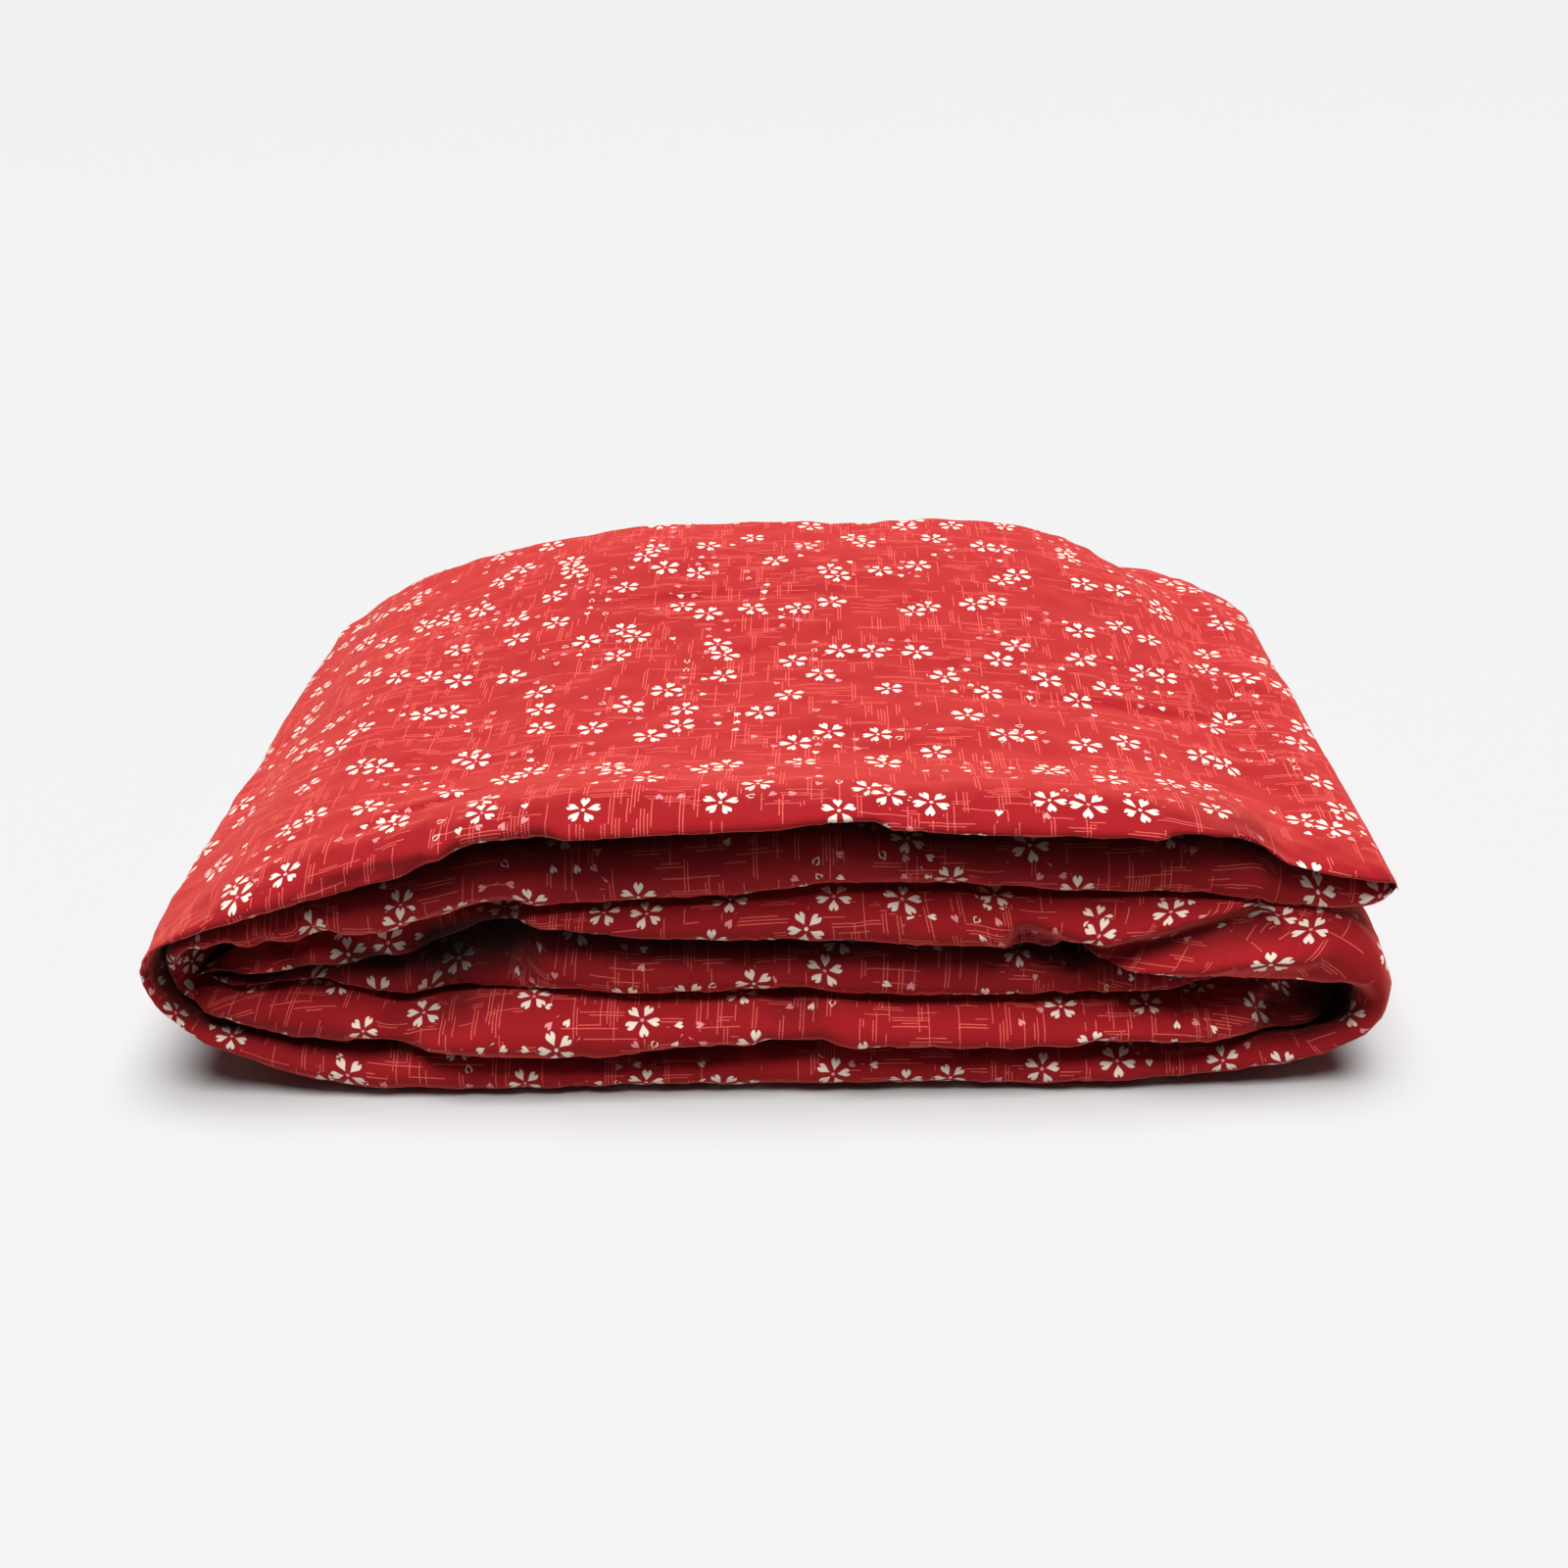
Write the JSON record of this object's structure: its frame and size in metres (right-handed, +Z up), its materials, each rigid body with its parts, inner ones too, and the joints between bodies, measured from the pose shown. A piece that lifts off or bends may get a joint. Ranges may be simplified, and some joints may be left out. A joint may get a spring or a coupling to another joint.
{
  "type": "folded futon mattress",
  "caption": "Thin padded floor mattress folded lengthwise and in thirds into a soft layered pile, in a red cover with a blossom print and a hidden zip.",
  "frame": {"origin": "on the floor, under the middle of the folded pile", "axes": "+X along the front to the right, +Y from the open front edges to the back fold, +Z up"},
  "size_m": [0.67, 0.5, 0.1736],
  "materials": {
    "printed_cotton": "matte",
    "plain_ticking": "matte",
    "soft_wadding": "matte",
    "firm_wadding": "matte",
    "cotton_thread": "matte",
    "cotton_tape": "matte",
    "zip_tape": "matte",
    "zip_coil": "satin",
    "zip_metal": "satin"
  },
  "bodies": {
    "root": {"bottom_cover": "printed_cotton", "bottom_ticking": "plain_ticking", "bottom_wadding": "soft_wadding", "bottom_core": "firm_wadding", "left_fold_lower_cover": "printed_cotton", "left_fold_lower_ticking": "plain_ticking", "left_fold_lower_wadding": "soft_wadding", "left_fold_lower_core": "firm_wadding", "right_fold_cover": "printed_cotton", "right_fold_ticking": "plain_ticking", "right_fold_wadding": "soft_wadding", "right_fold_core": "firm_wadding", "middle_cover": "printed_cotton", "middle_ticking": "plain_ticking", "middle_wadding": "soft_wadding", "middle_core": "firm_wadding", "bottom_filling_stitches": "cotton_thread", "middle_filling_stitches": "cotton_thread", "middle_corner_ties": "cotton_tape", "zip_tape_upper": "zip_tape", "zip_tape_lower": "zip_tape", "zip_coil_upper": "zip_coil", "zip_coil_lower": "zip_coil", "zip_end_stops": "zip_metal"},
    "left_fold": {"left_fold_middle_cover": "printed_cotton", "left_fold_middle_ticking": "plain_ticking", "left_fold_middle_wadding": "soft_wadding", "left_fold_middle_core": "firm_wadding"},
    "top_third": {"left_fold_upper_cover": "printed_cotton", "left_fold_upper_ticking": "plain_ticking", "left_fold_upper_wadding": "soft_wadding", "left_fold_upper_core": "firm_wadding", "top_cover": "printed_cotton", "top_ticking": "plain_ticking", "top_wadding": "soft_wadding", "top_core": "firm_wadding", "top_filling_stitches": "cotton_thread", "top_corner_ties": "cotton_tape"},
    "zip_slider": {"zip_slider": "zip_metal"},
    "zip_pull": {"zip_pull_tab": "zip_metal"}
  },
  "joints": [
    {"name": "left_fold_unrolls", "type": "hinge", "parent": "root", "child": "left_fold", "pos_m": [-0.30958, 0, 0.02542], "axis": [0, -1, 0], "range_deg": [0, 90]},
    {"name": "top_third_unfolds", "type": "hinge", "parent": "left_fold", "child": "top_third", "pos_m": [-0.30958, 0, 0.14818], "axis": [0, -1, 0], "range_deg": [0, 90]},
    {"name": "zip_slides", "type": "slide", "parent": "root", "child": "zip_slider", "axis": [0, -1, 0], "range_m": [0, 0.33]},
    {"name": "zip_pull_turns", "type": "hinge", "parent": "zip_slider", "child": "zip_pull", "pos_m": [-0.2437, 0.193, 0.1013], "axis": [0, 0, -1], "range_deg": [0, 170]}
  ],
  "couplings": [
    {"joint": "top_third_unfolds", "follows": "left_fold_unrolls", "ratio": 1}
  ]
}
